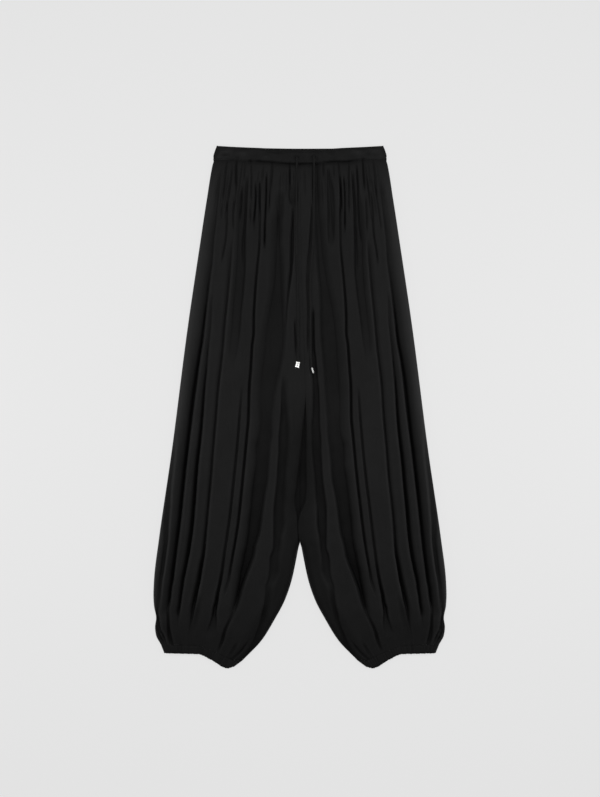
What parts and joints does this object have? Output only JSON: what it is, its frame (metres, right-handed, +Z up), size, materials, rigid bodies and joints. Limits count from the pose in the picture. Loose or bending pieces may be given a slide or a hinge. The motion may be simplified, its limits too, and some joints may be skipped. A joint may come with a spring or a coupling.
{
  "type": "balloon trousers",
  "caption": "Wide black balloon trousers laid flat, with a gathered drawstring waist, long soft folds and elastic ankle casings.",
  "frame": {"origin": "centre of the underside's bounding box, on the surface that the trousers lie on", "axes": "+Y from the ankles to the waist, +Z up from the surface, +X to the viewer's right"},
  "size_m": [0.5718, 1.0201, 0.0229],
  "materials": {
    "cloth": "matt black crepe with a faint sheen",
    "cord": "matt black tubular cord",
    "tip_metal": "bright silver-coloured metal"
  },
  "bodies": {
    "root": {"waistband_front": "cloth", "waistband_back": "cloth", "front_left": "cloth", "front_right": "cloth", "back_left": "cloth", "back_right": "cloth", "ankle_casing_left": "cloth", "ankle_casing_right": "cloth", "drawstring_left": "cord", "drawstring_right": "cord", "cord_tip_left": "tip_metal", "cord_tip_right": "tip_metal"}
  },
  "joints": []
}
